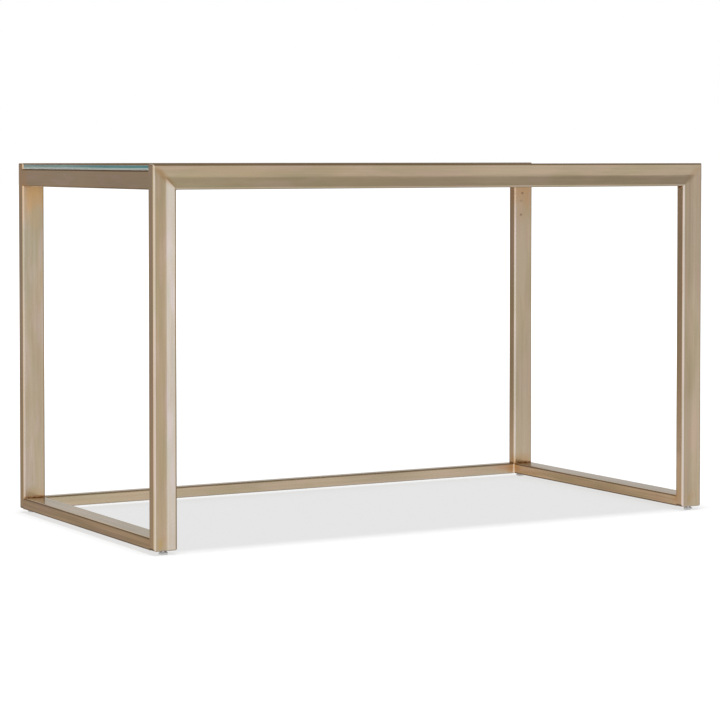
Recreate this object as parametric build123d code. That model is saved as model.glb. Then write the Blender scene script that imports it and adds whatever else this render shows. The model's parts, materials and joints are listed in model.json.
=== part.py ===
"""A slim metal vanity table with a drop-in glass top.

Two upright U frames of rectangular steel tube, front and rear, are mitred at their top corners, with a
shallow dish along their outer faces. Side rails join them at the top and at the floor, and a third floor
rail joins the rear legs, so the front stays open for knees and a stool. The glass lies between the two top
rails on clear glazing strips, with its short edges bare above the lower side rails. Each leg is closed by a
plate with a welded nut that takes a threaded levelling glide.

Millimetres, +Z up. The origin is on the floor at the middle of the footprint, +X is to the right and -Y is
the front.
"""

from build123d import *
import os
from math import cos, radians, tan

# Overall size
WIDTH = 1320.0
DEPTH = 700.0
HEIGHT = 762.0
FRAME_BOTTOM = 8.0

# Rectangular steel tube
TUBE_FACE = 50.0
TUBE_DEPTH = 25.0
TUBE_WALL = 2.0
TUBE_CORNER = 4.0
SIDE_RAIL_HEIGHT = 38.0
MITRE_CORNER = 3.0
FOOT_CORNER = 6.0

# The outer faces of the U frames are dished: two flats fall from the rounded edges to a soft centre line
DISH_ANGLE = radians(4.0)
DISH_BLEND = 60.0

# Glass top, the strips it beds on and the ledges under its long edges
GLASS_THICKNESS = 8.0
GLASS_RECESS = 2.5
GLASS_END_INSET = 1.5
GLASS_SIDE_GAP = 1.0
GLASS_CORNER = 3.0
GLASS_ARRIS = 0.8
LEDGE_WIDTH = 20.0
LEDGE_THICKNESS = 3.0
STRIP_WIDTH = 18.0
STRIP_INSET = 2.0
STRIP_CORNER = 0.5

# Leg end plate and its welded nut
PLATE_THICKNESS = 3.0
PLATE_EDGE = 2.8
PLATE_HOLE_RADIUS = 4.5
NUT_FLATS = 13.0
NUT_HEIGHT = 6.5
THREAD_RADIUS = 4.0
THREAD_CLEARANCE = 0.05

# Levelling glide: a plastic pad that swivels on a threaded stem with a hex collar
PAD_RADIUS = 9.5
PAD_TOP_RADIUS = 8.2
PAD_RIM = 2.8
PAD_HEIGHT = 5.0
PAD_FLOOR_EDGE = 0.8
SOCKET_FLOOR = 1.4
SOCKET_CLEARANCE = 0.08
COLLAR_BOTTOM = 5.2
COLLAR_HEIGHT = 1.2
COLLAR_FLATS = 13.0
STEM_TOP = 32.0
STEM_TIP = 0.8

# Places worked out from the sizes above
HALF_WIDTH = WIDTH / 2
HALF_DEPTH = DEPTH / 2
LEG_X = HALF_WIDTH - TUBE_FACE / 2
LEG_Y = HALF_DEPTH - TUBE_DEPTH / 2
PLATE_TOP = FRAME_BOTTOM + PLATE_THICKNESS
RAIL_BOTTOM = HEIGHT - TUBE_FACE
LEDGE_TOP = RAIL_BOTTOM + SIDE_RAIL_HEIGHT
GLASS_TOP = HEIGHT - GLASS_RECESS
GLASS_BOTTOM = GLASS_TOP - GLASS_THICKNESS
STRIP_THICKNESS = GLASS_BOTTOM - LEDGE_TOP
SIDE_RAIL_LENGTH = DEPTH - 2 * TUBE_DEPTH
REAR_RAIL_LENGTH = WIDTH - 2 * TUBE_FACE
LEDGE_LENGTH = WIDTH - 2 * TUBE_DEPTH

SIDES = {"left": -1, "right": 1}
ENDS = {"front": -1, "rear": 1}


def upright_cylinder(radius, height):
    """A cylinder standing on z = 0."""
    return Cylinder(radius, height, align=(Align.CENTER, Align.CENTER, Align.MIN))


def plain_outline(across, deep, inset=0.0):
    """A rounded rectangle: across along local X, deep along local Y."""
    corner = max(TUBE_CORNER - inset, 0.5)
    return RectangleRounded(across - 2 * inset, deep - 2 * inset, corner)


def dished_outline(across, deep, inset=0.0):
    """A rounded rectangle whose -Y side falls from both corners to a soft centre line, for the front frame.

    The sharp corner stands a little proud of the tube's depth, so that rounding it restores that depth.
    """
    half = across / 2 - inset
    back = deep / 2 - inset
    proud = TUBE_CORNER * (tan(DISH_ANGLE) + 1 / cos(DISH_ANGLE) - 1)
    front_edge = inset * (tan(DISH_ANGLE) + 1 / cos(DISH_ANGLE)) - deep / 2 - proud
    front_middle = front_edge + half * tan(DISH_ANGLE)
    front = [(-half, front_edge), (0, front_middle), (half, front_edge)]
    outline = make_face(Polyline((-half, back), *front, (half, back), close=True))
    middle = outline.vertices().filter_by_position(Axis.X, -1, 1)
    outline = fillet(middle, DISH_BLEND)
    corner = max(TUBE_CORNER - inset, 0.5)
    return fillet(outline.vertices().filter_by(lambda v: abs(v.X) > half - 1), corner)


def rear_dished_outline(across, deep, inset=0.0):
    """The dished outline turned about, for the rear frame."""
    return dished_outline(across, deep, inset).mirror(Plane.XZ)


FRAME_OUTLINES = {-1: dished_outline, 1: rear_dished_outline}


def tube(outline, across, deep, length, plane):
    """A hollow tube of that outline, centred on the plane and running along its normal."""
    section = outline(across, deep) - outline(across, deep, TUBE_WALL)
    return plane * extrude(section, length / 2, both=True)


def mitre_prism(points, y):
    """A prism as deep as a tube, on an outline drawn in the XZ plane and centred on y."""
    face = make_face(Plane.XZ * Polyline(*points, close=True))
    return Pos(0, y, 0) * extrude(face, TUBE_DEPTH / 2, both=True)


def rounded_frame_block(y):
    """The block that a U frame is cut from, with its two top corners eased."""
    block = Pos(0, y, (HEIGHT + FRAME_BOTTOM) / 2) * Box(WIDTH, TUBE_DEPTH, HEIGHT - FRAME_BOTTOM)
    top_corners = block.edges().filter_by(Axis.Y).group_by(Axis.Z)[-1]
    return fillet(top_corners, MITRE_CORNER)


def rounded_foot_block(x, y):
    """The block that a leg and its end plate are cut from, with its two floor corners ground round."""
    block = Pos(x, y, (HEIGHT + FRAME_BOTTOM) / 2) * Box(TUBE_FACE, TUBE_DEPTH, HEIGHT - FRAME_BOTTOM)
    floor_corners = block.edges().filter_by(Axis.Y).group_by(Axis.Z)[0]
    return fillet(floor_corners, FOOT_CORNER)


def leg(side, end):
    """An upright of a U frame, standing on its end plate and mitred at the top."""
    x, y = side * LEG_X, end * LEG_Y
    length = HEIGHT - PLATE_TOP
    middle = Plane(origin=(x, y, PLATE_TOP + length / 2))
    outer, inner = side * HALF_WIDTH, side * (HALF_WIDTH - TUBE_FACE)
    mitre = [(outer, PLATE_TOP), (outer, HEIGHT), (inner, RAIL_BOTTOM), (inner, PLATE_TOP)]
    upright = tube(FRAME_OUTLINES[end], TUBE_FACE, TUBE_DEPTH, length, middle)
    return upright & mitre_prism(mitre, y) & rounded_frame_block(y) & rounded_foot_block(x, y)


def top_rail(end):
    """The top of a U frame, mitred at both ends."""
    y = end * LEG_Y
    middle = Plane(origin=(0, y, HEIGHT - TUBE_FACE / 2), x_dir=(0, 0, 1), z_dir=(-1, 0, 0))
    inner = HALF_WIDTH - TUBE_FACE
    mitre = [(-HALF_WIDTH, HEIGHT), (HALF_WIDTH, HEIGHT), (inner, RAIL_BOTTOM), (-inner, RAIL_BOTTOM)]
    rail = tube(FRAME_OUTLINES[end], TUBE_FACE, TUBE_DEPTH, WIDTH, middle)
    return rail & mitre_prism(mitre, y) & rounded_frame_block(y)


def side_top_rail(side):
    """A lower rail between the U frames, flush with the outside of the legs."""
    x = side * (HALF_WIDTH - TUBE_DEPTH / 2)
    middle = Plane(origin=(x, 0, RAIL_BOTTOM + SIDE_RAIL_HEIGHT / 2), x_dir=(1, 0, 0), z_dir=(0, -1, 0))
    return tube(plain_outline, TUBE_DEPTH, SIDE_RAIL_HEIGHT, SIDE_RAIL_LENGTH, middle)


def side_bottom_rail(side):
    """A floor rail laid flat between the front and rear legs."""
    middle = Plane(origin=(side * LEG_X, 0, FRAME_BOTTOM + TUBE_DEPTH / 2), x_dir=(1, 0, 0), z_dir=(0, -1, 0))
    return tube(plain_outline, TUBE_FACE, TUBE_DEPTH, SIDE_RAIL_LENGTH, middle)


def rear_bottom_rail():
    """The square floor rail between the rear legs."""
    middle = Plane(origin=(0, LEG_Y, FRAME_BOTTOM + TUBE_DEPTH / 2), x_dir=(0, 1, 0), z_dir=(1, 0, 0))
    return tube(plain_outline, TUBE_DEPTH, TUBE_DEPTH, REAR_RAIL_LENGTH, middle)


def glass_ledge(end):
    """A flat bar on the inner face of a top rail, level with the side rails."""
    y = end * (HALF_DEPTH - TUBE_DEPTH - LEDGE_WIDTH / 2)
    return Pos(0, y, LEDGE_TOP - LEDGE_THICKNESS / 2) * Box(LEDGE_LENGTH, LEDGE_WIDTH, LEDGE_THICKNESS)


def glass_top():
    """The glass pane, with eased corners and a fine ground arris all round."""
    length = WIDTH - 2 * GLASS_END_INSET
    depth = SIDE_RAIL_LENGTH - 2 * GLASS_SIDE_GAP
    outline = RectangleRounded(length, depth, GLASS_CORNER)
    pane = Pos(0, 0, GLASS_BOTTOM) * extrude(outline, GLASS_THICKNESS)
    levels = pane.edges().group_by(Axis.Z)
    return chamfer(levels[0] + levels[-1], GLASS_ARRIS)


def glazing_strip(length, across_x, x, y):
    """A soft flat strip on top of a rail or a ledge, centred at x, y, which the glass beds on."""
    size = (STRIP_WIDTH, length) if across_x else (length, STRIP_WIDTH)
    strip = extrude(RectangleRounded(*size, STRIP_CORNER), STRIP_THICKNESS)
    return Pos(x, y, LEDGE_TOP) * strip


def side_glazing_strip(side):
    """The strip on a side rail, along a bare edge of the glass."""
    x = side * (HALF_WIDTH - STRIP_INSET - STRIP_WIDTH / 2)
    return glazing_strip(SIDE_RAIL_LENGTH - 2 * STRIP_INSET, True, x, 0)


def ledge_glazing_strip(end):
    """The strip on a ledge, along a long edge of the glass."""
    y = end * (HALF_DEPTH - TUBE_DEPTH - LEDGE_WIDTH / 2)
    return glazing_strip(LEDGE_LENGTH - 2 * STRIP_INSET, False, 0, y)


def foot_plate(side, end):
    """The plate that closes a leg, with its floor edges ground round and a hole for the glide."""
    x, y = side * LEG_X, end * LEG_Y
    plate = extrude(FRAME_OUTLINES[end](TUBE_FACE, TUBE_DEPTH), PLATE_THICKNESS)
    plate = fillet(plate.edges().group_by(Axis.Z)[0], PLATE_EDGE)
    plate -= upright_cylinder(PLATE_HOLE_RADIUS, PLATE_THICKNESS)
    return Pos(x, y, FRAME_BOTTOM) * plate & rounded_foot_block(x, y)


def hexagon(flats, height):
    """A hexagonal prism standing on z = 0, measured across its flats."""
    return extrude(RegularPolygon(flats / 2, 6, major_radius=False), height)


def foot_nut(side, end):
    """The nut welded on the inside of a foot plate."""
    nut = hexagon(NUT_FLATS, NUT_HEIGHT) - upright_cylinder(THREAD_RADIUS + THREAD_CLEARANCE, NUT_HEIGHT)
    return Pos(side * LEG_X, end * LEG_Y, PLATE_TOP) * nut


def glide_pad(side, end):
    """The round plastic pad, with the blind socket that the stem turns in."""
    shoulder = [(PAD_RADIUS, PAD_RIM), (PAD_TOP_RADIUS, PAD_HEIGHT)]
    half_profile = Polyline((0, 0), (PAD_RADIUS, 0), *shoulder, (0, PAD_HEIGHT), close=True)
    pad = revolve(make_face(Plane.XZ * half_profile), Axis.Z)
    pad = fillet(pad.edges().group_by(Axis.Z)[0], PAD_FLOOR_EDGE)
    socket = upright_cylinder(THREAD_RADIUS + SOCKET_CLEARANCE, PAD_HEIGHT)
    return Pos(side * LEG_X, end * LEG_Y, 0) * (pad - Pos(0, 0, SOCKET_FLOOR) * socket)


def glide_stem(side, end):
    """The threaded stem at its thread's outer diameter, with the hex collar that a spanner turns."""
    foot = SOCKET_FLOOR + SOCKET_CLEARANCE
    shank = upright_cylinder(THREAD_RADIUS, STEM_TOP - foot)
    shank = chamfer(shank.edges().group_by(Axis.Z)[-1], STEM_TIP)
    stem = Pos(0, 0, foot) * shank + Pos(0, 0, COLLAR_BOTTOM) * hexagon(COLLAR_FLATS, COLLAR_HEIGHT)
    return Pos(side * LEG_X, end * LEG_Y, 0) * stem


def all_pieces():
    """Every piece by its node's name."""
    pieces = {
        "rear_bottom_rail": rear_bottom_rail(),
        "glass_top": glass_top(),
    }
    for side_name, side in SIDES.items():
        pieces[f"{side_name}_top_rail"] = side_top_rail(side)
        pieces[f"{side_name}_bottom_rail"] = side_bottom_rail(side)
        pieces[f"{side_name}_glazing_strip"] = side_glazing_strip(side)
    for end_name, end in ENDS.items():
        pieces[f"{end_name}_top_rail"] = top_rail(end)
        pieces[f"{end_name}_glass_ledge"] = glass_ledge(end)
        pieces[f"{end_name}_glazing_strip"] = ledge_glazing_strip(end)
        for side_name, side in SIDES.items():
            corner = f"{end_name}_{side_name}"
            pieces[f"{corner}_leg"] = leg(side, end)
            pieces[f"{corner}_foot_plate"] = foot_plate(side, end)
            pieces[f"{corner}_foot_nut"] = foot_nut(side, end)
            pieces[f"{corner}_glide_pad"] = glide_pad(side, end)
            pieces[f"{corner}_glide_stem"] = glide_stem(side, end)
    return pieces


os.makedirs("parts", exist_ok=True)
for name, piece in all_pieces().items():
    export_step(piece, f"parts/{name}.step")
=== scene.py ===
"""Looks for the glass-topped vanity table: materials, small pieces, studio and camera round the CAD frame.

Everything is in metres, in the frame's own axes: +X right, -Y front, +Z up, floor at z = 0.
"""
import json
import math

import bmesh
import bpy
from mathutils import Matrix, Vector


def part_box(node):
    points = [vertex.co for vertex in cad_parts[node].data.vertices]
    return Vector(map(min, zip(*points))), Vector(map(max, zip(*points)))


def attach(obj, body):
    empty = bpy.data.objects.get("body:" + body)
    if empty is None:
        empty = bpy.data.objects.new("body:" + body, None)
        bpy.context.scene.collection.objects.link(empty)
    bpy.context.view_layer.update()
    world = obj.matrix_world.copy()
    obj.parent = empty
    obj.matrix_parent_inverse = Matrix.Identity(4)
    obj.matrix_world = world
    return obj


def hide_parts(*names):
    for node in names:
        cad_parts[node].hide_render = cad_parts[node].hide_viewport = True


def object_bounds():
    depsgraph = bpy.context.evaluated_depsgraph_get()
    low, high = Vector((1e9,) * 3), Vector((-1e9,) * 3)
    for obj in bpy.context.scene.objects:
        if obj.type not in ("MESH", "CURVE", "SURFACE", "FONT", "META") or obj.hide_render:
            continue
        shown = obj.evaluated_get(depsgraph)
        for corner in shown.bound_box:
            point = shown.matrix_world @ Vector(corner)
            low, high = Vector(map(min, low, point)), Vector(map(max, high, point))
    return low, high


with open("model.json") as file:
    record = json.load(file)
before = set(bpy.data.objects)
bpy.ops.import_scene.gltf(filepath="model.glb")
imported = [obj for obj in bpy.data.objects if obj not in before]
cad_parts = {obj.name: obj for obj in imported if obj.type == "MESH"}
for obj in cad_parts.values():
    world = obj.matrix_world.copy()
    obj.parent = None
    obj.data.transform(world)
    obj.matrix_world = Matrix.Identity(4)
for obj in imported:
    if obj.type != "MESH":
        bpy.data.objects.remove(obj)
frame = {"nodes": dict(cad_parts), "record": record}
CAD_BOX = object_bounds()

MM = 0.001
SLOTS = {row["node"]: row["material_slot"] for row in frame["record"]["subparts"]}
ENDS = {"front": -1, "rear": 1}
SIDES = {"left": -1, "right": 1}
CORNERS = [f"{end}_{side}" for end in ENDS for side in SIDES]

# Which way each tube runs, which is also the way that it was ground
GRAIN = {
    "leg": "Z",
    "front_top_rail": "X",
    "rear_top_rail": "X",
    "rear_bottom_rail": "X",
    "glass_ledge": "X",
    "foot_plate": "X",
    "left_top_rail": "Y",
    "right_top_rail": "Y",
    "left_bottom_rail": "Y",
    "right_bottom_rail": "Y",
}

# Champagne plating: yellower at the left end and paler at the right, with olive and pink clouds, and the
# colours that a weld's heat leaves in it. The amber and the rose also darken the joints' corners as painted
# contact shade, and the darkest brown draws a line above each floor rail.
CHAMPAGNE_LEFT = (0.622, 0.503, 0.358, 1.0)
CHAMPAGNE_RIGHT = (0.652, 0.553, 0.450, 1.0)
CHAMPAGNE_OLIVE = (0.560, 0.490, 0.345, 1.0)
CHAMPAGNE_PINK = (0.690, 0.545, 0.455, 1.0)
HEAT_AMBER_AND_SHADE = (0.600, 0.375, 0.175, 1.0)
HEAT_ROSE_AND_SHADE = (0.680, 0.440, 0.260, 1.0)
HEAT_STRAW = (0.750, 0.465, 0.210, 1.0)
SEAM_LINE_BROWN = (0.400, 0.200, 0.080, 1.0)
HEAT_GOLD = (0.640, 0.470, 0.210, 1.0)
MITRE_BROWN = (0.530, 0.370, 0.220, 1.0)
# Dark brown for the leg's marks, also used as painted shade along the side rails' shoulders
STAIN_AND_SHADE = (0.270, 0.160, 0.110, 1.0)

# Golden heat spots low on the outer faces of the front legs: x and strength of each
FACE_SPOTS = [(-0.6455, 0.75), (0.6290, 0.45)]

# The glass is blue-green at its edges. The greyer rear end of the edge, the pale streaks there and the pale
# line along the edge's foot are painted reflection.
GLASS_EDGE_REAR = (0.152, 0.250, 0.242, 1.0)
GLASS_EDGE_FRONT = (0.055, 0.245, 0.258, 1.0)
GLASS_EDGE_PAINTED_REFLECTION = (0.720, 0.900, 0.820, 1.0)
METAL_ROUGHNESS = (0.13, 0.20)

# The dish along the U frames' outer faces: the tilt of its flats, and where they meet. The worn part of a
# mitre: how far it reaches to each side, and how far down at the right. At the left it ends where the flats
# meet.
DISH_TILT = math.sin(math.radians(4.0))
DISH_MIDDLE = 25 * MM
DISH_SOFT = 4 * MM
MITRE_SOFT = 16 * MM
WORN_RIGHT = 42 * MM

# Small dark marks on the inner face of the rear right leg: x, z and strength of each
LEG_MARKS = [(0.6315, 0.6880, 0.75), (0.6285, 0.6690, 0.35), (0.6275, 0.6355, 0.65)]
MARK_RADIUS = 3.8 * MM

# Camera and studio
CAMERA_PLACE = (-2.68908, -4.75848, 0.77702)
CAMERA_PITCH = math.radians(-2.0)
CAMERA_YAW = math.radians(-29.44)
CAMERA_LENS = 125.083
CAMERA_SHIFT = -0.1616
SKY_WHITE = (1.0, 1.0, 1.0, 1.0)


# Node helpers

def add_node(tree, kind, values=None, **settings):
    """A new shader node. Each value is a number to set on an input, or a socket to link to it."""
    node = tree.nodes.new("ShaderNode" + kind)
    for name, setting in settings.items():
        setattr(node, name, setting)
    for name, value in (values or {}).items():
        if isinstance(value, bpy.types.NodeSocket):
            tree.links.new(value, node.inputs[name])
        else:
            node.inputs[name].default_value = value
    return node


def maths(tree, operation, *values, clamp=False):
    """The result of a Math node on one, two or three numbers or sockets."""
    node = add_node(tree, "Math", dict(enumerate(values)), operation=operation, use_clamp=clamp)
    return node.outputs[0]


def vector_maths(tree, operation, *values):
    """The result of a Vector Math node: a number for a dot product or a length, and otherwise a vector."""
    node = add_node(tree, "VectorMath", dict(enumerate(values)), operation=operation)
    return node.outputs["Value" if operation in ("DOT_PRODUCT", "LENGTH") else "Vector"]


def mix_colours(tree, factor, first, second):
    """A colour between first and second."""
    node = add_node(tree, "Mix", {"Factor": factor}, data_type="RGBA")
    for index, value in ((6, first), (7, second)):
        if isinstance(value, bpy.types.NodeSocket):
            tree.links.new(value, node.inputs[index])
        else:
            node.inputs[index].default_value = value
    return node.outputs[2]


def ramp(tree, value, low, high, out_low=0.0, out_high=1.0):
    """A smooth step from out_low to out_high as value goes from low to high."""
    values = {"Value": value, "From Min": low, "From Max": high, "To Min": out_low, "To Max": out_high}
    return add_node(tree, "MapRange", values, interpolation_type="SMOOTHSTEP").outputs["Result"]


def new_material(name):
    """An empty node material, with its output node."""
    material = bpy.data.materials.new(name)
    material.use_nodes = True
    material.node_tree.nodes.clear()
    return material, material.node_tree


def finish_material(tree, shader):
    """Links a shader to the material's output."""
    output = add_node(tree, "OutputMaterial")
    tree.links.new(shader.outputs[0], output.inputs["Surface"])


def stretched_noise(tree, place, scale, detail=2.0, roughness=0.5):
    """Noise whose scale, in cycles for each metre, differs along X, Y and Z."""
    vector = vector_maths(tree, "MULTIPLY", place, scale)
    values = {"Vector": vector, "Scale": 1.0, "Detail": detail, "Roughness": roughness}
    return add_node(tree, "TexNoise", values).outputs["Fac"]


def along_grain(axis, along, across):
    """A scale for each axis: along on the grain's own axis, and across on the other two."""
    return tuple(along if axis == name else across for name in "XYZ")


# Materials

def tint_mask(tree, place, centre, reach, stretch=(1.0, 1.0, 1.0)):
    """How near a point is to a tinted place: 1 there, and 0 beyond about reach times stretch."""
    offset = vector_maths(tree, "SUBTRACT", place, centre)
    offset = vector_maths(tree, "DIVIDE", offset, stretch)
    distance = vector_maths(tree, "LENGTH", offset)
    ragged = stretched_noise(tree, place, (40.0, 40.0, 25.0), detail=3.0)
    distance = maths(tree, "MULTIPLY_ADD", ragged, reach, distance)
    return ramp(tree, distance, reach * 1.5, reach * 0.45)


def weld_heat_and_shade(tree, place, colour):
    """The plating's colour, changed by the heat of the welds, with painted contact shade in the joints'
    corners.

    It shows at every foot, most of all at the rear right one, in spots on the front legs' faces, and at the
    top of the rear legs.
    """
    leg_low, leg_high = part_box("rear_right_leg")
    rail_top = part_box("right_bottom_rail")[1].z
    across = (leg_low.x + leg_high.x) / 2
    every_corner = vector_maths(tree, "ABSOLUTE", place)
    foot = tint_mask(tree, every_corner, (across, leg_low.y, rail_top), 0.030, (2.0, 1.0, 1.0))
    mirrored = vector_maths(tree, "MULTIPLY", place, (-1.0, 1.0, 1.0))
    rear_corners = vector_maths(tree, "MAXIMUM", place, mirrored)
    leg_top = (across, leg_low.y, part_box("rear_top_rail")[0].z)
    corner = tint_mask(tree, rear_corners, leg_top, 0.066, (1.0, 1.0, 1.7))
    rear_foot = tint_mask(tree, place, (leg_low.x, leg_low.y, rail_top - 10 * MM), 0.055, (1.0, 3.2, 0.8))
    # Amber at the feet: heat tint, and painted contact shade in the corners
    colour = mix_colours(tree, maths(tree, "MULTIPLY", foot, 0.55), colour, HEAT_AMBER_AND_SHADE)
    colour = mix_colours(tree, maths(tree, "MULTIPLY", rear_foot, 0.60), colour, HEAT_AMBER_AND_SHADE)
    for x, strength in FACE_SPOTS:
        spot = tint_mask(tree, place, (x, -leg_high.y, rail_top - 10 * MM), 0.012, (0.8, 1.0, 1.3))
        colour = mix_colours(tree, maths(tree, "MULTIPLY", spot, strength), colour, HEAT_GOLD)
    right_end = ramp(tree, add_node(tree, "SeparateXYZ", {0: place}).outputs["X"], -0.1, 0.1)
    # Straw to rose under the rear top rail: heat tint, with the darker rose also painted contact shade
    corner_colour = mix_colours(tree, right_end, HEAT_STRAW, HEAT_ROSE_AND_SHADE)
    return mix_colours(tree, maths(tree, "MULTIPLY", corner, 0.88), colour, corner_colour)


def mitre_smear(tree, place, colour):
    """The plating's colour with the soft brown smear that grinding leaves on each mitre's outer half."""
    frame_high = CAD_BOX[1]
    position = add_node(tree, "SeparateXYZ", {0: place})
    from_side = maths(tree, "SUBTRACT", frame_high.x, maths(tree, "ABSOLUTE", position.outputs["X"]))
    from_top = maths(tree, "SUBTRACT", frame_high.z, position.outputs["Z"])
    off_diagonal = maths(tree, "ABSOLUTE", maths(tree, "SUBTRACT", from_side, from_top))
    ragged = stretched_noise(tree, place, (120.0, 120.0, 120.0), detail=3.0)
    off_diagonal = maths(tree, "MULTIPLY_ADD", ragged, 5 * MM, off_diagonal)
    on_diagonal = ramp(tree, off_diagonal, 17 * MM, 3 * MM)
    off_corner = ramp(tree, from_top, 4 * MM, 14 * MM)
    outer_half = maths(tree, "MULTIPLY", off_corner, ramp(tree, from_top, 50 * MM, 32 * MM))
    strength = ramp(tree, position.outputs["X"], -0.5, 0.5, 0.95, 0.35)
    smear = maths(tree, "MULTIPLY", maths(tree, "MULTIPLY", on_diagonal, outer_half), strength)
    return mix_colours(tree, smear, colour, MITRE_BROWN)


def worn_mitre_normal(tree, place):
    """The shading normal, turned gradually across each mitre as far in as grinding wore its crease away.

    The rail's upper flat tilts downwards there and the leg's outer flat tilts inwards, by the same angle.
    Only the shading changes: the mesh keeps its sharp mitre.
    """
    frame_high = CAD_BOX[1]
    position = add_node(tree, "SeparateXYZ", {0: place})
    side = maths(tree, "SIGN", position.outputs["X"])
    end = maths(tree, "SIGN", position.outputs["Y"])
    from_side = maths(tree, "SUBTRACT", frame_high.x, maths(tree, "ABSOLUTE", position.outputs["X"]))
    from_top = maths(tree, "SUBTRACT", frame_high.z, position.outputs["Z"])
    past_mitre = maths(tree, "SUBTRACT", from_top, from_side)
    to_leg = ramp(tree, past_mitre, -MITRE_SOFT, MITRE_SOFT)
    flats = [
        ramp(tree, distance, DISH_MIDDLE - DISH_SOFT, DISH_MIDDLE + DISH_SOFT, -DISH_TILT, DISH_TILT)
        for distance in (from_side, from_top)
    ]
    sideways = maths(tree, "MULTIPLY", maths(tree, "MULTIPLY", flats[0], to_leg), side)
    upwards = maths(tree, "MULTIPLY", flats[1], maths(tree, "SUBTRACT", 1.0, to_leg))
    worn = add_node(tree, "CombineXYZ", {"X": sideways, "Y": end, "Z": upwards}).outputs[0]

    normal = add_node(tree, "NewGeometry").outputs["Normal"]
    outwards = maths(tree, "MULTIPLY", add_node(tree, "SeparateXYZ", {0: normal}).outputs["Y"], end)
    on_face = ramp(tree, outwards, 0.985, 0.995)
    worn_depth = ramp(tree, position.outputs["X"], -0.5, 0.5, DISH_MIDDLE, WORN_RIGHT)
    beyond_worn = maths(tree, "SUBTRACT", from_top, worn_depth)
    in_worn_part = ramp(tree, beyond_worn, 5 * MM, -5 * MM)
    near_mitre = ramp(tree, maths(tree, "ABSOLUTE", past_mitre), MITRE_SOFT * 1.3, MITRE_SOFT)
    amount = maths(tree, "MULTIPLY", maths(tree, "MULTIPLY", on_face, in_worn_part), near_mitre)
    change = vector_maths(tree, "SCALE", vector_maths(tree, "SUBTRACT", worn, normal))
    tree.links.new(amount, change.node.inputs["Scale"])
    return vector_maths(tree, "NORMALIZE", vector_maths(tree, "ADD", normal, change))


def seam_brown_line(tree, place, colour):
    """The plating's colour with a darker brown line just above each floor rail, on the legs' inner faces."""
    inner_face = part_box("rear_right_leg")[0].y
    rail_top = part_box("right_bottom_rail")[1].z
    position = add_node(tree, "SeparateXYZ", {0: place})
    depth = maths(tree, "ABSOLUTE", position.outputs["Y"])
    on_face = ramp(tree, depth, inner_face + 2 * MM, inner_face + 0.5 * MM)
    ragged = stretched_noise(tree, place, (70.0, 70.0, 60.0), detail=3.0)
    rise = maths(tree, "MULTIPLY_ADD", ragged, -7 * MM, position.outputs["Z"])
    near_seam = ramp(tree, rise, rail_top + 2 * MM, rail_top - 1.5 * MM)
    brown_amount = maths(tree, "MULTIPLY", maths(tree, "MULTIPLY", on_face, near_seam), 0.85)
    return mix_colours(tree, brown_amount, colour, SEAM_LINE_BROWN)


def leg_marks(tree, place, colour):
    """The plating's colour with the small dark marks on one leg."""
    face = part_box("rear_right_leg")[0].y
    ragged = stretched_noise(tree, place, (420.0, 420.0, 260.0), detail=3.0)
    for x, z, strength in LEG_MARKS:
        distance = vector_maths(tree, "LENGTH", vector_maths(tree, "SUBTRACT", place, (x, face, z)))
        distance = maths(tree, "MULTIPLY_ADD", ragged, 4 * MM, distance)
        mark = ramp(tree, distance, MARK_RADIUS + 3 * MM, MARK_RADIUS - 1 * MM)
        colour = mix_colours(tree, maths(tree, "MULTIPLY", mark, strength), colour, STAIN_AND_SHADE)
    return colour


def painted_shoulder_shade(tree, place, colour):
    """The plating's colour with a line of painted shade where the side rails' outer shoulders run under the
    glass.
    """
    rail_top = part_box("left_top_rail")[1].z
    height = add_node(tree, "SeparateXYZ", {0: place}).outputs["Z"]
    shoulder_shade = ramp(tree, height, rail_top - 3.4 * MM, rail_top - 1.6 * MM)
    return mix_colours(tree, maths(tree, "MULTIPLY", shoulder_shade, 0.75), colour, STAIN_AND_SHADE)


def rail_reflection_bands(tree, place, colour):
    """The plating's colour, lighter and darker in painted reflection streaks that run along the two side
    floor rails.
    """
    height = add_node(tree, "SeparateXYZ", {0: place}).outputs["Z"]
    on_floor_rail = ramp(tree, height, 0.20, 0.10)
    reflection_streaks = stretched_noise(tree, place, along_grain("Y", 2.5, 130.0), detail=2.0)
    shade = maths(tree, "MULTIPLY_ADD", ramp(tree, reflection_streaks, 0.36, 0.64, -0.09, 0.16), on_floor_rail, 1.0)
    shaded = vector_maths(tree, "SCALE", colour)
    tree.links.new(shade, shaded.node.inputs["Scale"])
    return shaded


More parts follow.
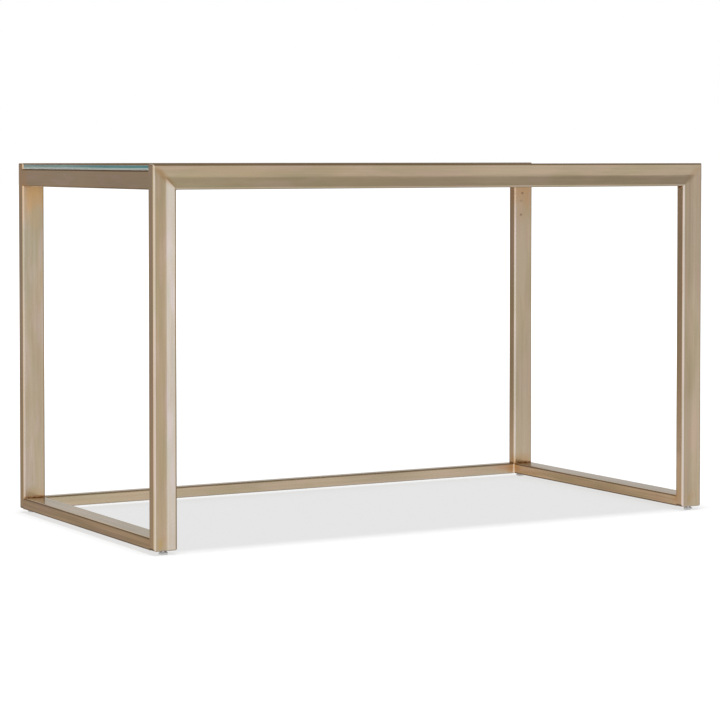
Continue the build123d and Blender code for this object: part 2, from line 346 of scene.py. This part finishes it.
def champagne_metal(axis):
    """Satin champagne plating over steel tube that was ground along the given axis."""
    material, tree = new_material(f"champagne_ground_{axis.lower()}")
    place = add_node(tree, "TexCoord").outputs["Object"]

    left_to_right = ramp(tree, add_node(tree, "SeparateXYZ", {0: place}).outputs["X"], -0.66, 0.66)
    colour = mix_colours(tree, left_to_right, CHAMPAGNE_LEFT, CHAMPAGNE_RIGHT)
    olive = ramp(tree, stretched_noise(tree, place, along_grain(axis, 6.0, 30.0)), 0.42, 0.66)
    pink = ramp(tree, stretched_noise(tree, place, along_grain(axis, 9.0, 60.0), detail=3.0), 0.46, 0.66)
    colour = mix_colours(tree, maths(tree, "MULTIPLY", olive, 0.70), colour, CHAMPAGNE_OLIVE)
    colour = mix_colours(tree, maths(tree, "MULTIPLY", pink, 0.60), colour, CHAMPAGNE_PINK)
    streaks = stretched_noise(tree, place, along_grain(axis, 4.0, 300.0), detail=3.0)
    shade = ramp(tree, streaks, 0.30, 0.70, 0.96, 1.03)
    clouds = stretched_noise(tree, place, along_grain(axis, 3.0, 8.0), detail=1.0)
    shade = maths(tree, "MULTIPLY", shade, ramp(tree, clouds, 0.35, 0.65, 0.92, 1.03))
    shaded = vector_maths(tree, "SCALE", colour)
    tree.links.new(shade, shaded.node.inputs["Scale"])
    colour = weld_heat_and_shade(tree, place, shaded)
    if axis != "Y":
        colour = mitre_smear(tree, place, colour)
    if axis == "Z":
        colour = seam_brown_line(tree, place, colour)
        colour = leg_marks(tree, place, colour)
    if axis == "Y":
        colour = painted_shoulder_shade(tree, place, colour)
        colour = rail_reflection_bands(tree, place, colour)

    brush = stretched_noise(tree, place, along_grain(axis, 8.0, 1400.0), detail=4.0, roughness=0.7)
    smudge = stretched_noise(tree, place, along_grain(axis, 14.0, 40.0), detail=4.0)
    low, high = METAL_ROUGHNESS
    streaked = maths(tree, "MULTIPLY_ADD", brush, 0.5, maths(tree, "MULTIPLY", smudge, 0.5))
    roughness = ramp(tree, streaked, 0.35, 0.65, low, high)

    waves = stretched_noise(tree, place, along_grain(axis, 5.0, 26.0))
    wave_values = {"Height": waves, "Strength": 0.35, "Distance": 0.8 * MM}
    if axis != "Y":
        wave_values["Normal"] = worn_mitre_normal(tree, place)
    waviness = add_node(tree, "Bump", wave_values)
    grain_values = {"Height": brush, "Strength": 0.08, "Distance": 0.10 * MM, "Normal": waviness.outputs[0]}
    grain = add_node(tree, "Bump", grain_values)

    shader = add_node(tree, "BsdfPrincipled", {
        "Base Color": colour,
        "Metallic": 1.0,
        "Roughness": roughness,
        "Normal": grain.outputs[0],
        "Coat Weight": 0.12,
        "Coat Roughness": 0.12,
    })
    finish_material(tree, shader)
    return material


def clear_glass():
    """Float glass: clear through its faces, and blue-green at its ground and polished edges, with painted
    reflection on the edges.
    """
    material, tree = new_material("clear_float_glass")
    place = add_node(tree, "TexCoord").outputs["Object"]
    normal = add_node(tree, "NewGeometry").outputs["Normal"]
    facing_up = maths(tree, "ABSOLUTE", vector_maths(tree, "DOT_PRODUCT", normal, (0.0, 0.0, 1.0)))
    edge = ramp(tree, facing_up, 0.9, 0.2)

    pane_low, pane_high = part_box("glass_top")
    position = add_node(tree, "SeparateXYZ", {0: place})
    to_front = ramp(tree, position.outputs["Y"], pane_high.y, pane_low.y)
    # Painted reflection: greyer with pale streaks towards the rear end, and a pale line along the edge's
    # foot
    streaks = stretched_noise(tree, place, (3.0, 5.0, 420.0), detail=2.0)
    teal = mix_colours(tree, to_front, GLASS_EDGE_REAR, GLASS_EDGE_FRONT)
    streakiness = ramp(tree, to_front, 0.0, 1.0, 0.30, 0.08)
    light = maths(tree, "MULTIPLY", ramp(tree, streaks, 0.35, 0.70), streakiness)
    teal = mix_colours(tree, light, teal, GLASS_EDGE_PAINTED_REFLECTION)
    foot = ramp(tree, position.outputs["Z"], pane_low.z + 2.6 * MM, pane_low.z + 1.3 * MM)
    deep = mix_colours(tree, foot, teal, GLASS_EDGE_PAINTED_REFLECTION)
    shader = add_node(tree, "BsdfPrincipled", {
        "Base Color": mix_colours(tree, edge, (0.965, 0.990, 0.985, 1.0), deep),
        "Roughness": 0.015,
        "IOR": 1.52,
        "Transmission Weight": maths(tree, "SUBTRACT", 1.0, maths(tree, "MULTIPLY", edge, 0.85)),
    })
    finish_material(tree, shader)
    return material


def silicone():
    """Soft milky silicone, with a faint waviness from its moulding."""
    material, tree = new_material("milky_silicone")
    place = add_node(tree, "TexCoord").outputs["Object"]
    cloud = stretched_noise(tree, place, (60.0, 60.0, 60.0), detail=3.0)
    colour = mix_colours(tree, cloud, (0.62, 0.66, 0.61, 1.0), (0.72, 0.74, 0.69, 1.0))
    bump = add_node(tree, "Bump", {"Height": cloud, "Strength": 0.2, "Distance": 0.3 * MM})
    shader = add_node(tree, "BsdfPrincipled", {
        "Base Color": colour,
        "Roughness": ramp(tree, cloud, 0.3, 0.7, 0.32, 0.48),
        "Normal": bump.outputs[0],
        "IOR": 1.41,
        "Subsurface Weight": 0.25,
        "Subsurface Radius": (2 * MM, 2 * MM, 2 * MM),
        "Subsurface Scale": 1.0,
    })
    finish_material(tree, shader)
    return material


def translucent_plastic():
    """Milky moulded plastic with a fine spark-eroded texture, darker in patches towards the floor."""
    material, tree = new_material("translucent_plastic")
    place = add_node(tree, "TexCoord").outputs["Object"]
    height = add_node(tree, "SeparateXYZ", {0: place}).outputs["Z"]
    speckle = stretched_noise(tree, place, (900.0, 900.0, 900.0), detail=2.0)
    scuff = stretched_noise(tree, place, (220.0, 220.0, 160.0), detail=4.0)
    clean = mix_colours(tree, scuff, (0.93, 0.94, 0.94, 1.0), (0.98, 0.98, 0.97, 1.0))
    # Darker in patches within 2 mm of the floor
    floor_edge_patches = maths(tree, "MULTIPLY", ramp(tree, height, 2.0 * MM, 0.0), ramp(tree, scuff, 0.4, 0.7))
    colour = mix_colours(tree, maths(tree, "MULTIPLY", floor_edge_patches, 0.5), clean, (0.45, 0.43, 0.40, 1.0))
    bump = add_node(tree, "Bump", {"Height": speckle, "Strength": 0.25, "Distance": 0.05 * MM})
    shader = add_node(tree, "BsdfPrincipled", {
        "Base Color": colour,
        "Roughness": ramp(tree, scuff, 0.3, 0.7, 0.50, 0.66),
        "Normal": bump.outputs[0],
        "IOR": 1.30,
        "Transmission Weight": 0.22,
    })
    finish_material(tree, shader)
    return material


def zinc_steel():
    """Bright zinc plate, cloudy with a faint blue and straw cast."""
    material, tree = new_material("zinc_plate")
    place = add_node(tree, "TexCoord").outputs["Object"]
    cloud = stretched_noise(tree, place, (260.0, 260.0, 200.0), detail=4.0)
    tint = stretched_noise(tree, place, (120.0, 120.0, 90.0), detail=2.0)
    straw = ramp(tree, tint, 0.35, 0.65)
    colour = mix_colours(tree, straw, (0.90, 0.91, 0.93, 1.0), (0.92, 0.91, 0.88, 1.0))
    colour = mix_colours(tree, maths(tree, "MULTIPLY", cloud, 0.30), colour, (0.60, 0.61, 0.62, 1.0))
    bump = add_node(tree, "Bump", {"Height": cloud, "Strength": 0.15, "Distance": 0.05 * MM})
    shader = add_node(tree, "BsdfPrincipled", {
        "Base Color": colour,
        "Metallic": 1.0,
        "Roughness": ramp(tree, cloud, 0.3, 0.7, 0.22, 0.42),
        "Normal": bump.outputs[0],
    })
    finish_material(tree, shader)
    return material


def weld_metal():
    """A weld's toe under the plating: browner and rougher than the tube beside it."""
    material, tree = new_material("champagne_weld")
    place = add_node(tree, "TexCoord").outputs["Object"]
    brown_amount = stretched_noise(tree, place, (180.0, 180.0, 180.0), detail=4.0)
    browning = ramp(tree, brown_amount, 0.35, 0.65)
    colour = mix_colours(tree, browning, (0.40, 0.20, 0.085, 1.0), (0.60, 0.38, 0.19, 1.0))
    bump = add_node(tree, "Bump", {"Height": brown_amount, "Strength": 0.3, "Distance": 0.15 * MM})
    shader = add_node(tree, "BsdfPrincipled", {
        "Base Color": colour,
        "Metallic": 1.0,
        "Roughness": ramp(tree, brown_amount, 0.3, 0.7, 0.32, 0.48),
        "Normal": bump.outputs[0],
    })
    finish_material(tree, shader)
    return material


MATERIALS = {
    "clear_glass": clear_glass(),
    "clear_silicone": silicone(),
    "translucent_plastic": translucent_plastic(),
    "zinc_steel": zinc_steel(),
}
METALS = {axis: champagne_metal(axis) for axis in "XYZ"}
WELD = weld_metal()


def grain_of(node):
    """The axis that a champagne node's grain runs along."""
    return next(axis for ending, axis in GRAIN.items() if node.endswith(ending))


def dress_cad_nodes():
    """Gives every CAD node the material of its slot."""
    for name, node in frame["nodes"].items():
        slot = SLOTS[name]
        material = METALS[grain_of(name)] if slot == "champagne_steel" else MATERIALS[slot]
        for place in node.material_slots:
            place.material = material


# Meshes

def new_piece(name, mesh_builder, material, body, smooth_angle=math.radians(40)):
    """A mesh object from a bmesh, smooth up to an angle, that rides on a body and belongs to a slot."""
    mesh = bpy.data.meshes.new(name)
    bmesh.ops.recalc_face_normals(mesh_builder, faces=mesh_builder.faces)
    mesh_builder.to_mesh(mesh)
    mesh_builder.free()
    mesh.materials.append(material)
    mesh.polygons.foreach_set("use_smooth", [True] * len(mesh.polygons))
    mesh.set_sharp_from_angle(angle=smooth_angle)
    piece = bpy.data.objects.new(name, mesh)
    bpy.context.scene.collection.objects.link(piece)
    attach(piece, body)
    return piece


def lathe(builder, profile, centre, segments, shape=None):
    """Turns a profile of (radius, height) points round a vertical axis and closes both its ends.

    shape(angle, radius, height) may change the radius, as a thread, a hexagon or a flute does.
    """
    rings = []
    for radius, height in profile:
        ring = []
        for step in range(segments):
            angle = 2 * math.pi * step / segments
            reach = shape(angle, radius, height) if shape else radius
            ring.append(builder.verts.new((
                centre.x + reach * math.cos(angle),
                centre.y + reach * math.sin(angle),
                centre.z + height,
            )))
        rings.append(ring)
    for lower, upper in zip(rings, rings[1:]):
        for step in range(segments):
            after = (step + 1) % segments
            builder.faces.new((lower[step], lower[after], upper[after], upper[step]))
    for ring in (rings[0], rings[-1]):
        builder.faces.new(ring)


THREAD_PITCH = 1.25 * MM
THREAD_DEPTH = 0.70 * MM
COLLAR_GAP = 0.2 * MM
COLLAR_HEIGHT = 1.2 * MM
COLLAR_CHAMFER = 0.35 * MM


def make_stem(corner):
    """The glide's stem: a cut thread with a chamfered tip, and the hexagonal collar above the pad."""
    low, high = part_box(f"{corner}_glide_stem")
    pad_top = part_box(f"{corner}_glide_pad")[1].z
    centre = Vector(((low.x + high.x) / 2, (low.y + high.y) / 2, 0.0))
    outer = 4.0 * MM
    collar_low = pad_top + COLLAR_GAP
    collar_high = collar_low + COLLAR_HEIGHT
    flats = high.y - low.y
    length = high.z - low.z

    def threaded(angle, radius, height):
        turn = (height / THREAD_PITCH - angle / (2 * math.pi)) % 1.0
        crest = max(0.0, min(1.0, 2.4 * abs(2 * turn - 1) - 0.55))
        runout = min(1.0, max(0.0, (height - collar_high + centre.z) / (2 * THREAD_PITCH)))
        return radius - THREAD_DEPTH * (1 - crest) * runout

    def hexagonal(angle, radius, height):
        corner_angle = (angle + math.pi / 6) % (math.pi / 3) - math.pi / 6
        return min(radius, flats / 2 / math.cos(corner_angle))

    builder = bmesh.new()
    steps = int(length / THREAD_PITCH * 10)
    heights = [low.z + length * step / steps for step in range(steps + 1)]
    profile = [(min(outer, outer - 0.8 * MM + (high.z - height)), height) for height in heights]
    lathe(builder, profile, centre, 40, threaded)
    corner_reach = flats / 2 / math.cos(math.pi / 6)
    flat_reach = flats / 2 - 0.25 * MM
    collar = [
        (outer, collar_low),
        (flat_reach, collar_low),
        (corner_reach, collar_low + COLLAR_CHAMFER),
        (corner_reach, collar_high - COLLAR_CHAMFER),
        (flat_reach, collar_high),
        (outer, collar_high),
    ]
    lathe(builder, collar, centre, 72, hexagonal)
    zinc = MATERIALS["zinc_steel"]
    stem = new_piece(f"{corner}_stem_thread", builder, zinc, f"{corner}_stem", math.radians(28))
    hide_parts(f"{corner}_glide_stem")


PAD_FLUTES = 30
PAD_FLUTE_DEPTH = 0.20 * MM
PAD_FLOOR_EDGE = 0.8 * MM
PAD_RIM_TOP = 2.4 * MM
PAD_SOCKET = 4.1 * MM


def make_pad(corner):
    """The moulded pad: a fluted rim, a softened shoulder, a raised lip and the socket for the stem."""
    low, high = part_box(f"{corner}_glide_pad")
    centre = Vector(((low.x + high.x) / 2, (low.y + high.y) / 2, 0.0))
    rim = (high.x - low.x) / 2
    top = high.z

    def fluted(angle, radius, height):
        on_rim = radius > rim - 0.1 * MM and PAD_FLOOR_EDGE < height < PAD_RIM_TOP + 0.1 * MM
        wave = 0.5 - 0.5 * math.cos(PAD_FLUTES * angle)
        return radius - PAD_FLUTE_DEPTH * wave * on_rim

    profile = [(2.0 * MM, 0.25 * MM), (rim - 3.1 * MM, 0.25 * MM), (rim - 2.7 * MM, 0.0)]
    for step in range(7):
        angle = math.pi / 2 * step / 6
        inset = PAD_FLOOR_EDGE * (1 - math.sin(angle))
        profile.append((rim - inset, PAD_FLOOR_EDGE * (1 - math.cos(angle))))
    profile += [
        (rim, 1.2 * MM),
        (rim, 1.8 * MM),
        (rim, PAD_RIM_TOP),
        (rim - 0.12 * MM, PAD_RIM_TOP + 0.35 * MM),
        (rim - 0.5 * MM, top - 1.5 * MM),
        (rim - 1.1 * MM, top - 0.6 * MM),
        (rim - 1.5 * MM, top - 0.25 * MM),
        (rim - 2.1 * MM, top - 0.2 * MM),
        (rim - 2.4 * MM, top - 0.05 * MM),
        (rim - 2.7 * MM, top),
        (PAD_SOCKET + 0.5 * MM, top),
        (PAD_SOCKET + 0.15 * MM, top - 0.1 * MM),
        (PAD_SOCKET, top - 0.3 * MM),
        (PAD_SOCKET, 1.5 * MM),
        (PAD_SOCKET - 0.2 * MM, 1.4 * MM),
    ]
    builder = bmesh.new()
    lathe(builder, profile, centre, PAD_FLUTES * 6, fluted)
    pad = new_piece(f"{corner}_pad_moulding", builder, MATERIALS["translucent_plastic"], f"{corner}_pad")
    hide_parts(f"{corner}_glide_pad")


WELD_RIPPLE = 2.1 * MM


def make_weld(name, start, end, first, second, size, material=WELD, ripple_depth=0.10):
    """A concave fillet weld from start to end, in the corner of faces that run along first and second."""
    start, end, first, second = (Vector(v) for v in (start, end, first, second))
    length = (end - start).length
    steps = max(8, round(length / (WELD_RIPPLE / 6)))
    arc_steps = 7
    builder = bmesh.new()
    rows = []
    for step in range(steps + 1):
        along = step / steps
        ripple = abs(math.sin(math.pi * along * length / WELD_RIPPLE))
        taper = min(1.0, 0.35 + min(along, 1 - along) * length / (1.2 * size))
        reach = size * taper * (1 - ripple_depth * (1 - ripple))
        middle = start.lerp(end, along)
        row = [builder.verts.new(middle)]
        for turn in range(arc_steps):
            angle = math.pi / 2 * turn / (arc_steps - 1)
            corner_point = middle + (first + second) * reach
            inwards = first * math.sin(angle) + second * math.cos(angle)
            row.append(builder.verts.new(corner_point - inwards * reach))
        rows.append(row)
    count = len(rows[0])
    for near, far in zip(rows, rows[1:]):
        for step in range(count):
            after = (step + 1) % count
            builder.faces.new((near[step], near[after], far[after], far[step]))
    for row in (rows[0], rows[-1]):
        builder.faces.new(row)
    return new_piece(name, builder, material, "root", math.radians(35))


TUBE_CORNER = 4.0 * MM
MITRE_WELD = 5.0 * MM
SEAM_WELD = 2.2 * MM
CORNER_WELD = 4.5 * MM
EDGE_EASE = 3.6 * MM


def rounded_face(face, inward, height, low, high):
    """Where a rail's upright face is at a height, with the tube's rounded edges at low and high."""
    into_edge = TUBE_CORNER - min(height - low, high - height)
    if into_edge <= 0:
        return face
    return face + inward * (TUBE_CORNER - math.sqrt(max(0.0, TUBE_CORNER ** 2 - into_edge ** 2)))


def make_flush_weld(name, face, inward, joint, to_leg, low, high, along_y=True):
    """Weld metal ground flush, which fills the groove between a rail's end and a leg's rounded corner.

    face is the plane that both faces lie in, inward points from it into the metal, joint is the plane of the
    rail's end, and to_leg points from the joint to the leg. The rail runs along Y, or else along X.
    """
    edge_steps = 6
    arc_steps = 5
    edge = [TUBE_CORNER * (1 - math.cos(math.pi / 2 * step / edge_steps)) for step in range(edge_steps + 1)]
    heights = [low + rise for rise in edge[1:]] + [high - rise for rise in reversed(edge[1:])]
    builder = bmesh.new()
    rows = []
    for height in heights:
        rail_edge = rounded_face(face, inward, height, low, high)
        points = [(rail_edge, joint), (face, joint + to_leg * TUBE_CORNER)]
        for step in range(1, arc_steps):
            angle = math.pi / 2 * step / arc_steps
            points.append((face + inward * TUBE_CORNER * (1 - math.cos(angle)),
                           joint + to_leg * TUBE_CORNER * (1 - math.sin(angle))))
        points.append((face + inward * TUBE_CORNER, joint))
        rows.append([builder.verts.new((p, q, height) if along_y else (q, p, height)) for p, q in points])
    for lower, upper in zip(rows, rows[1:]):
        for step in range(len(lower)):
            after = (step + 1) % len(lower)
            builder.faces.new((lower[step], lower[after], upper[after], upper[step]))
    for row in (rows[0], rows[-1]):
        builder.faces.new(row)
    return new_piece(name, builder, METALS["Y"], "root", math.radians(30))


def make_fillet_welds():
    """The fillet welds in the inside corners, which are left when the outsides are ground flush."""
    for end_name, end in ENDS.items():
        for side_name, side in SIDES.items():
            leg_low, leg_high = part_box(f"{end_name}_{side_name}_leg")
            rail_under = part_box(f"{end_name}_top_rail")[0].z
            inner_x = leg_high.x if side < 0 else leg_low.x
            inner_y = leg_high.y if end < 0 else leg_low.y
            inward_x, inward_y = -side, -end
            front, back = leg_low.y + EDGE_EASE, leg_high.y - EDGE_EASE
            corner = f"{end_name}_{side_name}"
            make_weld(f"{corner}_mitre_weld", (inner_x, front, rail_under), (inner_x, back, rail_under),
                      (inward_x, 0, 0), (0, 0, -1), MITRE_WELD)
            rail_low, rail_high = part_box(f"{side_name}_bottom_rail")
            left, right = rail_low.x + EDGE_EASE, rail_high.x - EDGE_EASE
            make_weld(f"{corner}_foot_weld", (left, inner_y, rail_high.z), (right, inner_y, rail_high.z),
                      (0, inward_y, 0), (0, 0, 1), SEAM_WELD)
            top_low, top_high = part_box(f"{side_name}_top_rail")
            left, right = top_low.x + EDGE_EASE, top_high.x - EDGE_EASE
            make_weld(f"{corner}_top_rail_weld", (left, inner_y, top_low.z), (right, inner_y, top_low.z),
                      (0, inward_y, 0), (0, 0, -1), SEAM_WELD)


def make_rear_rail_welds():
    """The welds at the rear floor rail's ends: on top, in the corners by the side rails, and behind."""
    low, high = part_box("rear_bottom_rail")
    front, back = low.y + EDGE_EASE, high.y - EDGE_EASE
    foot, head = low.z + 1 * MM, high.z - 1 * MM
    for side_name, side in SIDES.items():
        name = f"rear_rail_{side_name}"
        x = low.x if side < 0 else high.x
        make_weld(f"{name}_weld", (x, front, high.z), (x, back, high.z), (-side, 0, 0), (0, 0, 1), SEAM_WELD)
        make_weld(f"{name}_corner_weld", (x, low.y, foot), (x, low.y, head), (-side, 0, 0), (0, -1, 0),
                  CORNER_WELD, METALS["Y"], 0.0)
        make_flush_weld(f"{name}_flush_weld", high.y, -1, x, side, low.z, high.z, along_y=False)


def make_side_rail_flush_welds():
    """The flush welds at the side rails' ends: outside every one, and inside the floor rails' front ends."""
    for end_name, end in ENDS.items():
        for side_name, side in SIDES.items():
            corner = f"{end_name}_{side_name}"
            for rail in ("top", "bottom"):
                low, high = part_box(f"{side_name}_{rail}_rail")
                joint = low.y if end < 0 else high.y
                outer = low.x if side < 0 else high.x
                make_flush_weld(f"{corner}_{rail}_flush_weld", outer, -side, joint, end, low.z, high.z)
            if end_name == "front":
                low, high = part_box(f"{side_name}_bottom_rail")
                inner = high.x if side < 0 else low.x
                make_flush_weld(f"{corner}_inner_flush_weld", inner, side, low.y, end, low.z, high.z)


# Studio

def horizontal_mask(tree, flat_direction, azimuth, half_width, softness):
    """1 for directions within half_width degrees of an azimuth, which turns from the front to the right."""
    turn = math.radians(azimuth)
    centre = (math.sin(turn), -math.cos(turn), 0.0)
    closeness = vector_maths(tree, "DOT_PRODUCT", flat_direction, centre)
    outer = math.cos(math.radians(min(180.0, half_width + softness)))
    inner = math.cos(math.radians(half_width - softness))
    return ramp(tree, closeness, outer, inner)


def height_mask(tree, height, low, high, softness):
    """1 for directions whose elevation is between low and high degrees. A limit of 90 is left open."""
    mask = None
    if low > -90:
        rise = [math.sin(math.radians(e)) for e in (low - softness, low + softness)]
        mask = ramp(tree, height, *rise)
    if high < 90:
        fall = [math.sin(math.radians(e)) for e in (high + softness, high - softness)]
        upper = ramp(tree, height, *fall)
        mask = upper if mask is None else maths(tree, "MULTIPLY", mask, upper)
    return mask


# The studio's light by direction, from the back layer to the front one: azimuth and half width, lowest and
# highest elevation, softness at the sides and at the top and bottom, all in degrees, and colour. The layers
# stay with the room. Their places and colours were tuned for the main camera's view.
STUDIO = {
    "wall": (0.0, 180.0, 0.0, 90.0, 1.0, 1.5, (0.390, 0.352, 0.300)),
    "left_wall": (0.0, 29.0, 0.0, 60.0, 8.0, 1.5, (0.560, 0.525, 0.435)),
    "back_right_wall": (150.0, 30.0, 0.0, 60.0, 8.0, 1.5, (0.540, 0.520, 0.490)),
    "floor": (0.0, 180.0, -90.0, 0.0, 1.0, 1.5, (0.610, 0.570, 0.490)),
    "lit_floor": (0.0, 41.0, -90.0, 0.0, 5.0, 1.5, (0.710, 0.670, 0.590)),
    "near_floor": (0.0, 180.0, -90.0, -18.0, 1.0, 6.0, (0.700, 0.695, 0.680)),
    "right_side": (95.0, 35.0, -30.0, 25.0, 6.0, 6.0, (0.330, 0.290, 0.240)),
    "far_floor": (155.0, 62.0, -90.0, 0.0, 6.0, 1.5, (0.270, 0.230, 0.185)),
    "back_wall": (-150.0, 45.0, -5.0, 60.0, 8.0, 2.0, (0.390, 0.340, 0.305)),
    "back_wall_shade": (-125.0, 24.0, -6.0, 60.0, 4.0, 2.0, (0.310, 0.245, 0.180)),
    "back_floor": (-150.0, 45.0, -90.0, -6.5, 8.0, 2.0, (0.670, 0.545, 0.395)),
    "back_left_floor": (-172.0, 19.0, -90.0, -6.5, 5.0, 2.0, (0.410, 0.340, 0.280)),
    "back_floor_shade": (-150.0, 45.0, -90.0, -16.0, 8.0, 4.0, (0.200, 0.165, 0.130)),
    "dark_ceiling": (0.0, 180.0, 34.0, 90.0, 1.0, 9.0, (0.240, 0.190, 0.130)),
    "back_shade": (-158.0, 20.0, 7.0, 60.0, 6.0, 4.0, (0.200, 0.155, 0.110)),
    "back_glow": (168.0, 9.0, 16.0, 60.0, 5.0, 4.0, (0.850, 0.800, 0.720)),
    "overhead_panel": (0.0, 180.0, 78.0, 90.0, 1.0, 3.0, (0.900, 0.890, 0.860)),
    "side_softbox": (-85.0, 35.0, -55.0, 34.0, 5.0, 8.0, (1.040, 0.980, 0.920)),
    "front_softbox": (-26.5, 46.0, -55.0, 34.0, 1.2, 8.0, (1.030, 1.060, 1.150)),
    "cool_panel": (10.0, 9.5, -55.0, 34.0, 1.2, 8.0, (1.100, 1.210, 1.480)),
}
BASE_LIGHT = (0.500, 0.450, 0.380, 1.0)
FLOOR_AMBIENT = (0.37, 0.37, 0.37, 1.0)


def make_world():
    """The studio, which only shows in reflections: the camera sees white, and the floor gets even light."""
    world = bpy.data.worlds.new("studio")
    world.use_nodes = True
    tree = world.node_tree
    tree.nodes.clear()
    direction = add_node(tree, "TexCoord").outputs["Generated"]
    height = add_node(tree, "SeparateXYZ", {0: direction}).outputs["Z"]
    flat = vector_maths(tree, "NORMALIZE", vector_maths(tree, "MULTIPLY", direction, (1.0, 1.0, 0.0)))
    light = BASE_LIGHT
    for azimuth, half_width, low, high, side_softness, end_softness, colour in STUDIO.values():
        mask = height_mask(tree, height, low, high, end_softness)
        if half_width < 180:
            sides = horizontal_mask(tree, flat, azimuth, half_width, side_softness)
            mask = maths(tree, "MULTIPLY", mask, sides)
        light = mix_colours(tree, mask, light, (*colour, 1.0))
    path = add_node(tree, "LightPath")
    from_matt = maths(tree, "MINIMUM", path.outputs["Diffuse Depth"], 1.0)
    light = mix_colours(tree, from_matt, light, FLOOR_AMBIENT)
    light = mix_colours(tree, path.outputs["Is Camera Ray"], light, SKY_WHITE)
    background = add_node(tree, "Background", {"Color": light, "Strength": 1.0})
    output = add_node(tree, "OutputWorld")
    tree.links.new(background.outputs[0], output.inputs["Surface"])
    bpy.context.scene.world = world


FLOOR_REACH = 60.0
SWEEP_START, SWEEP_END = 1.3, 5.0
SWEEP_GLOW = 1.45
FLOOR_MATT_SHARE = 0.3
LAMP_PLACE = (-0.55, -0.60, 30.0)
LAMP_WIDTH, LAMP_LENGTH = 3.20, 3.40
LAMP_POWER = 10000.0


def make_floor():
    """A plain pale floor, which mostly glows like a lit sweep, so that shadows on it stay light."""
    mesh = bpy.data.meshes.new("floor")
    corners = [(-FLOOR_REACH, -FLOOR_REACH, 0), (FLOOR_REACH, -FLOOR_REACH, 0),
               (FLOOR_REACH, FLOOR_REACH, 0), (-FLOOR_REACH, FLOOR_REACH, 0)]
    mesh.from_pydata(corners, [], [(0, 1, 2, 3)])
    material, tree = new_material("pale_floor")
    away = vector_maths(tree, "LENGTH", add_node(tree, "TexCoord").outputs["Object"])
    strength = ramp(tree, away, SWEEP_START, SWEEP_END, 1.0, SWEEP_GLOW)
    glow = add_node(tree, "Emission", {"Color": (1.0, 1.0, 1.0, 1.0), "Strength": strength})
    matt = add_node(tree, "BsdfDiffuse", {"Color": (0.86, 0.86, 0.86, 1.0)})
    shares = {0: FLOOR_MATT_SHARE, 1: glow.outputs[0], 2: matt.outputs[0]}
    finish_material(tree, add_node(tree, "MixShader", shares))
    mesh.materials.append(material)
    floor = bpy.data.objects.new("floor", mesh)
    floor.visible_glossy = False
    bpy.context.scene.collection.objects.link(floor)


def make_lamp():
    """A soft lamp high overhead, which casts the table's shadow and which metal doesn't mirror."""
    light = bpy.data.lights.new("overhead_lamp", "AREA")
    light.shape = "RECTANGLE"
    light.size = LAMP_WIDTH
    light.size_y = LAMP_LENGTH
    light.energy = LAMP_POWER
    lamp = bpy.data.objects.new("overhead_lamp", light)
    lamp.location = LAMP_PLACE
    lamp.visible_glossy = False
    lamp.visible_transmission = False
    bpy.context.scene.collection.objects.link(lamp)


def make_camera():
    """The camera, a little above the table top and turned a little below level."""
    camera = bpy.data.cameras.new("camera")
    camera.sensor_width = 36.0
    camera.lens = CAMERA_LENS
    camera.shift_y = CAMERA_SHIFT
    camera.clip_end = 200.0
    holder = bpy.data.objects.new("camera", camera)
    holder.location = CAMERA_PLACE
    holder.rotation_euler = (math.pi / 2 + CAMERA_PITCH, 0.0, CAMERA_YAW)
    bpy.context.scene.collection.objects.link(holder)
    bpy.context.scene.camera = holder


dress_cad_nodes()
for corner_name in CORNERS:
    make_stem(corner_name)
    make_pad(corner_name)
make_fillet_welds()
make_rear_rail_welds()
make_side_rail_flush_welds()
make_world()
make_floor()
make_lamp()
make_camera()
bpy.context.scene.view_settings.view_transform = "Standard"
